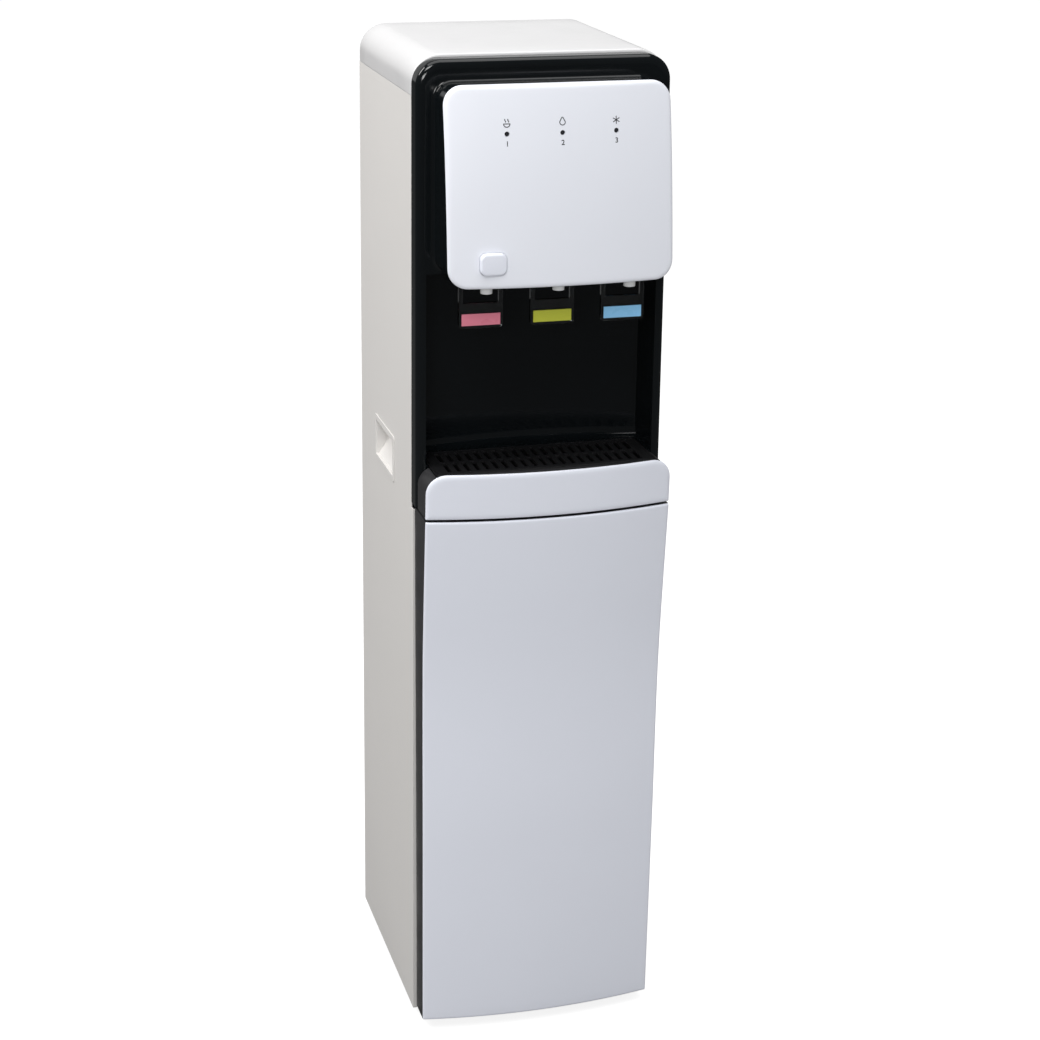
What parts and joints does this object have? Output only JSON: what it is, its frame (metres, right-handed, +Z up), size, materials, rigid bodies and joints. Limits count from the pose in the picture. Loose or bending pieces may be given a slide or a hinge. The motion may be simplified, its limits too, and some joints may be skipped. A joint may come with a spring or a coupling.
{
  "type": "bottom-loading water dispenser",
  "caption": "Slim floor-standing water dispenser: bottle behind a bowed lower door, push-lever taps under an overhanging head, drip tray, lift-out grille and carry handles.",
  "frame": {"origin": "on the floor, under the middle of the whole object", "axes": "+X to the viewer's right when facing the taps, +Y to the back, +Z up"},
  "size_m": [0.287, 0.3962, 1.15],
  "materials": {
    "side_enamel": "satin warm white enamel",
    "pale_cover": "silvery white, satin gloss",
    "lid_white": "white, satin gloss",
    "black_gloss": "glossy black",
    "black_matte": "fine matte black",
    "dark_grey": "dark grey",
    "tray_black": "matte black",
    "liner_white": "matte white",
    "tap_white": "white",
    "clear_lever": "clear, polished",
    "strip_red": "pink red",
    "strip_green": "yellow green",
    "strip_blue": "light blue",
    "steel_bright": "bright",
    "spring_steel": "spring steel",
    "zinc": "bare galvanised sheet",
    "lens_white": "frosted lens",
    "board_green": "circuit board",
    "rubber_black": "matte rubber",
    "mat_grey": "ribbed mat",
    "condenser_black": "black paint",
    "compressor_black": "black enamel",
    "foam": "expanded foam",
    "magnet": "magnet in rubber",
    "probe_blue": "food-grade plastic",
    "hose": "milky silicone",
    "tube": "milky silicone",
    "switch_red": "red rocker",
    "switch_green": "green rocker",
    "pump_grey": "grey"
  },
  "bodies": {
    "cabinet": {"apron": "pale_cover", "back_panel": "zinc", "base_pan": "zinc", "bay_panel": "black_gloss", "bottle_mat": "mat_grey", "cold_tank": "foam", "cold_tap_body": "tap_white", "compressor": "compressor_black", "condenser": "condenser_black", "control_board": "board_green", "cord_gland": "black_matte", "door_frame": "black_matte", "door_hinges": "steel_bright", "door_magnets": "magnet", "drain_spout": "dark_grey", "feet": "rubber_black", "front_fascia": "black_gloss", "head_body": "black_gloss", "head_cover": "pale_cover", "head_electronics": "board_green", "hot_tank": "steel_bright", "hot_tap_body": "tap_white", "indicator_lenses": "lens_white", "left_handle_cup": "side_enamel", "left_side_panel": "side_enamel", "mid_shelf": "zinc", "probe_clips": "liner_white", "pump": "pump_grey", "right_handle_cup": "side_enamel", "right_side_panel": "side_enamel", "room_tap_body": "tap_white", "suction_hose": "hose", "switch_housing": "black_matte", "tank_shelf": "zinc", "top_cover": "lid_white", "tray_housing": "dark_grey", "water_tubes": "tube"},
    "door": {"door_skin": "pale_cover", "door_liner": "dark_grey", "door_strikes": "steel_bright"},
    "lock_button": {"lock_button": "pale_cover"},
    "drip_tray": {"drip_tray": "tray_black"},
    "drip_grille": {"drip_grille": "tray_black"},
    "suction_probe": {"suction_probe": "probe_blue"},
    "heating_switch": {"heating_switch": "switch_red"},
    "cooling_switch": {"cooling_switch": "switch_green"},
    "drain_cap": {"drain_cap": "dark_grey"},
    "hot_lever": {"hot_tap_lever": "clear_lever", "hot_lever_insert": "strip_red"},
    "hot_valve": {"hot_valve_stem": "steel_bright", "hot_valve_spring": "spring_steel"},
    "room_lever": {"room_tap_lever": "clear_lever", "room_lever_insert": "strip_green"},
    "room_valve": {"room_valve_stem": "steel_bright", "room_valve_spring": "spring_steel"},
    "cold_lever": {"cold_tap_lever": "clear_lever", "cold_lever_insert": "strip_blue"},
    "cold_valve": {"cold_valve_stem": "steel_bright", "cold_valve_spring": "spring_steel"}
  },
  "joints": [
    {"name": "door_hinge", "type": "hinge", "parent": "cabinet", "child": "door", "pos_m": [0.1325, -0.1151, 0.33], "axis": [0, 0, 1], "range_deg": [0, 110]},
    {"name": "lock_press", "type": "slide", "parent": "cabinet", "child": "lock_button", "axis": [0, 1, 0], "range_m": [0, 0.002], "stiffness_N_per_m": 800},
    {"name": "tray_lift", "type": "slide", "parent": "cabinet", "child": "drip_tray", "axis": [0, 0, 1], "range_m": [0, 0.03]},
    {"name": "grille_lift", "type": "slide", "parent": "drip_tray", "child": "drip_grille", "axis": [0, 0, 1], "range_m": [0, 0.012]},
    {"name": "probe_lift", "type": "slide", "parent": "cabinet", "child": "suction_probe", "axis": [0, 0, 1], "range_m": [0, 0.025], "deforming": ["suction_hose"]},
    {"name": "heating_rock", "type": "hinge", "parent": "cabinet", "child": "heating_switch", "pos_m": [0.047, 0.1781, 0.61], "axis": [1, 0, 0], "range_deg": [0, 18]},
    {"name": "cooling_rock", "type": "hinge", "parent": "cabinet", "child": "cooling_switch", "pos_m": [0.077, 0.1781, 0.61], "axis": [1, 0, 0], "range_deg": [0, 18]},
    {"name": "drain_cap_off", "type": "slide", "parent": "cabinet", "child": "drain_cap", "axis": [0, 1, 0], "range_m": [0, 0.016]},
    {"name": "hot_lever_swing", "type": "hinge", "parent": "cabinet", "child": "hot_lever", "pos_m": [-0.08, -0.1491, 0.955], "axis": [1, 0, 0], "range_deg": [0, 12], "stiffness_Nm_per_rad": 0.73},
    {"name": "hot_valve_slide", "type": "slide", "parent": "cabinet", "child": "hot_valve", "axis": [0, 0, 1], "range_m": [-0.006, 0], "deforming": ["hot_valve_spring"]},
    {"name": "room_lever_swing", "type": "hinge", "parent": "cabinet", "child": "room_lever", "pos_m": [0, -0.1491, 0.955], "axis": [1, 0, 0], "range_deg": [0, 12], "stiffness_Nm_per_rad": 0.73},
    {"name": "room_valve_slide", "type": "slide", "parent": "cabinet", "child": "room_valve", "axis": [0, 0, 1], "range_m": [-0.006, 0], "deforming": ["room_valve_spring"]},
    {"name": "cold_lever_swing", "type": "hinge", "parent": "cabinet", "child": "cold_lever", "pos_m": [0.08, -0.1491, 0.955], "axis": [1, 0, 0], "range_deg": [0, 12], "stiffness_Nm_per_rad": 0.73},
    {"name": "cold_valve_slide", "type": "slide", "parent": "cabinet", "child": "cold_valve", "axis": [0, 0, 1], "range_m": [-0.006, 0], "deforming": ["cold_valve_spring"]}
  ],
  "couplings": [
    {"joint": "hot_valve_slide", "follows": "hot_lever_swing", "m_per_rad": -0.027},
    {"joint": "room_valve_slide", "follows": "room_lever_swing", "m_per_rad": -0.027},
    {"joint": "cold_valve_slide", "follows": "cold_lever_swing", "m_per_rad": -0.027}
  ]
}
